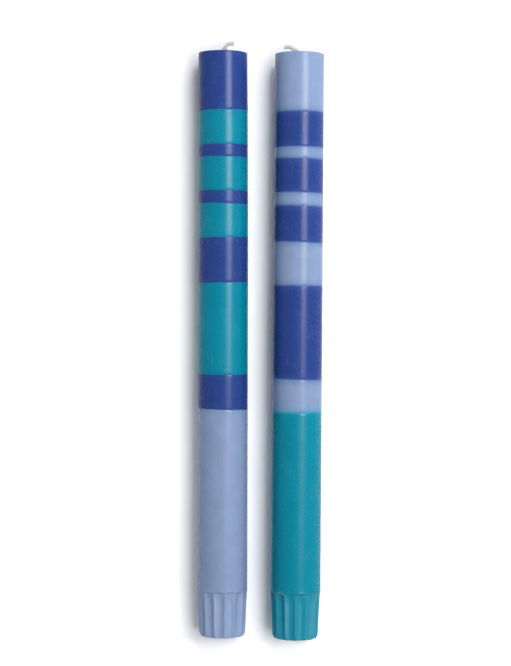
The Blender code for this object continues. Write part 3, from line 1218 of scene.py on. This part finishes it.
# %% [markdown]
# ## The floor
#
# The candles lie on a white surface. In the photograph it is plain white but for the shadows, which
# lie close on the left of each candle and end softly within a centimetre. The floor here is a matt
# plane, and light bounces off it as off white paper. The colour that the camera sees may differ
# from that, because it puts no more light on the candles. The lamps reach the feet less than the
# tips, so the seen colour is paler there, as painted light that makes up for the lamps. Just past
# the feet it is paler still, and this painted light washes out most of the feet's shadow, so that
# the shadow there is short. Further off the floor turns plain white.

# %% Floor
FLOOR_SIZE = 8.0
FLOOR_BOUNCE = 0.98
# Painted light: the seen floor is paler towards the feet, where the lamps reach less.
FLOOR_SEEN_AT_FOOT = 1.20
FLOOR_SEEN_AT_TIP = 1.02
PICTURE_HALF = 0.15           # from the middle of the candles to either end of the picture
PAST_THE_FEET = (-0.1362, -0.1323)         # along the candles, from the full gain to none
# Painted light just past the feet, which washes out most of the feet's shadow.
PAST_THE_FEET_GAIN = 1.21
FLOOR_FADE = (0.19, 0.30)     # distance from the candles over which the floor turns plain white


def seen_directly(tree):
    """1 for a ray from the camera, a mirror or glass, and 0 for light on its way round the room."""
    path = add_node(tree, "ShaderNodeLightPath").outputs
    mirrored = calculate(tree, "MAXIMUM", path["Is Glossy Ray"], path["Is Transmission Ray"])
    return calculate(tree, "MAXIMUM", path["Is Camera Ray"], mirrored)


def white_surface():
    material = bpy.data.materials.new("white_surface")
    material.use_nodes = True
    tree = material.node_tree
    tree.nodes.remove(tree.nodes["Principled BSDF"])
    seen = seen_directly(tree)
    position = add_node(tree, "ShaderNodeTexCoord").outputs["Object"]
    along = add_node(tree, "ShaderNodeSeparateXYZ", {0: position}).outputs["Y"]
    graded = add_node(tree, "ShaderNodeMapRange", {
        "Value": along, "From Min": -PICTURE_HALF, "From Max": PICTURE_HALF,
        "To Min": FLOOR_SEEN_AT_FOOT, "To Max": FLOOR_SEEN_AT_TIP}).outputs["Result"]
    past_feet = ramp(tree, along, *PAST_THE_FEET, PAST_THE_FEET_GAIN, 1.0)
    shown = calculate(tree, "MULTIPLY", graded, past_feet)
    colour = blend_colours(tree, seen, (FLOOR_BOUNCE, FLOOR_BOUNCE, FLOOR_BOUNCE, 1.0), shown)
    near = add_node(tree, "ShaderNodeBsdfDiffuse", {"Color": colour}).outputs[0]
    far = add_node(tree, "ShaderNodeEmission", {"Strength": 1.0}).outputs[0]
    length = add_node(tree, "ShaderNodeVectorMath", {0: position}, operation="LENGTH")
    away = ramp(tree, length.outputs["Value"], *FLOOR_FADE)
    share = calculate(tree, "MULTIPLY", away, seen)
    surface = add_node(tree, "ShaderNodeMixShader", {0: share, 1: near, 2: far}).outputs[0]
    tree.links.new(surface, tree.nodes["Material Output"].inputs["Surface"])
    return material


def make_floor():
    mesh = bpy.data.meshes.new("floor")
    half = FLOOR_SIZE / 2
    corners = [(-half, -half, 0), (half, -half, 0), (half, half, 0), (-half, half, 0)]
    mesh.from_pydata(corners, [], [(0, 1, 2, 3)])
    floor = bpy.data.objects.new("floor", mesh)
    bpy.context.scene.collection.objects.link(floor)
    mesh.materials.append(white_surface())
    return floor


floor = make_floor()
print(floor.name + ":", FLOOR_SIZE, "m across")

# %% [markdown]
# ## The lamps
#
# The light in the photograph is soft and comes from above and a little from the right. One large
# softbox gives most of it. A smaller one beyond the wicks makes the tips a little brighter than
# the feet, and a weak one low on the right reaches the walls of the flutes that face it. The
# gloss doesn't show these three, because lamps of this size would spread a haze over the wax.
#
# A round surface shows a lamp where it faces half way between lamp and eye. The bright streak
# along each candle is strong at the wick and fades towards the foot, so it has lamps of its own:
# four panels in a row, each weaker than the last, which only the gloss shows. The room is
# dim and even, and white where it is seen directly.
#
# A softbox is described by its radiance, and Blender wants watts, so the helper converts.

# %% Lamps
AIM = Vector((0.0, 0.0, 0.011))   # the middle of the candles' axes
ALONG_THE_CANDLES = Vector((0.0, 1.0, 0.0))


def softbox(name, place, width, length, radiance):
    """A rectangular lamp that faces the candles, with its length along them. A white surface that
    sees nothing but radiance 1 renders as 1."""
    data = bpy.data.lights.new(name, "AREA")
    data.shape = "RECTANGLE"
    data.size = width
    data.size_y = length
    data.energy = radiance * math.pi * width * length
    lamp = bpy.data.objects.new(name, data)
    back = (Vector(place) - AIM).normalized()
    across = ALONG_THE_CANDLES.cross(back).normalized()
    along = back.cross(across)
    lamp.location = place
    lamp.rotation_euler = Matrix((across, along, back)).transposed().to_euler()
    lamp.visible_camera = False
    bpy.context.scene.collection.objects.link(lamp)
    return lamp


SOFTBOXES = {                 # place, width, length and radiance
    "main_softbox": ((0.35, 0.0, 0.90), 0.42, 0.80, 4.9),
    "near_softbox": ((0.15, 0.50, 0.50), 0.30, 0.20, 11.5),
    "side_softbox": ((0.60, 0.20, 0.12), 0.15, 0.45, 3.0),
}
for name, settings in SOFTBOXES.items():
    softbox(name, *settings).visible_glossy = False
print("softboxes:", ", ".join(SOFTBOXES))

# %% Streak panels
STREAK_SIDE, STREAK_HEIGHT = 0.95, 1.73
STREAK_WIDTH = 0.66
STREAK_PANELS = (             # middle along the candles, length and radiance
    (0.62, 0.40, 43.0), (0.32, 0.20, 36.0), (0.13, 0.18, 25.0), (-0.03, 0.14, 13.0))
for count, (middle, length, radiance) in enumerate(STREAK_PANELS, 1):
    place = (STREAK_SIDE, middle, STREAK_HEIGHT)
    panel = softbox("streak_panel_%d" % count, place, STREAK_WIDTH, length, radiance)
    panel.visible_diffuse = False
print("panels that only the gloss shows:", len(STREAK_PANELS))

# %% Room
ROOM_LIGHT = 0.315


def light_room():
    """An even room, which the camera, mirrors and glass see as white."""
    world = bpy.data.worlds.new("even_room")
    world.use_nodes = True
    bpy.context.scene.world = world
    tree = world.node_tree
    background = tree.nodes["Background"]
    level = calculate(tree, "MAXIMUM", seen_directly(tree), ROOM_LIGHT)
    tree.links.new(level, background.inputs["Strength"])
    background.inputs["Color"].default_value = (1.0, 1.0, 1.0, 1.0)


light_room()
bpy.context.scene.view_settings.view_transform = "Standard"
print("room light:", ROOM_LIGHT)
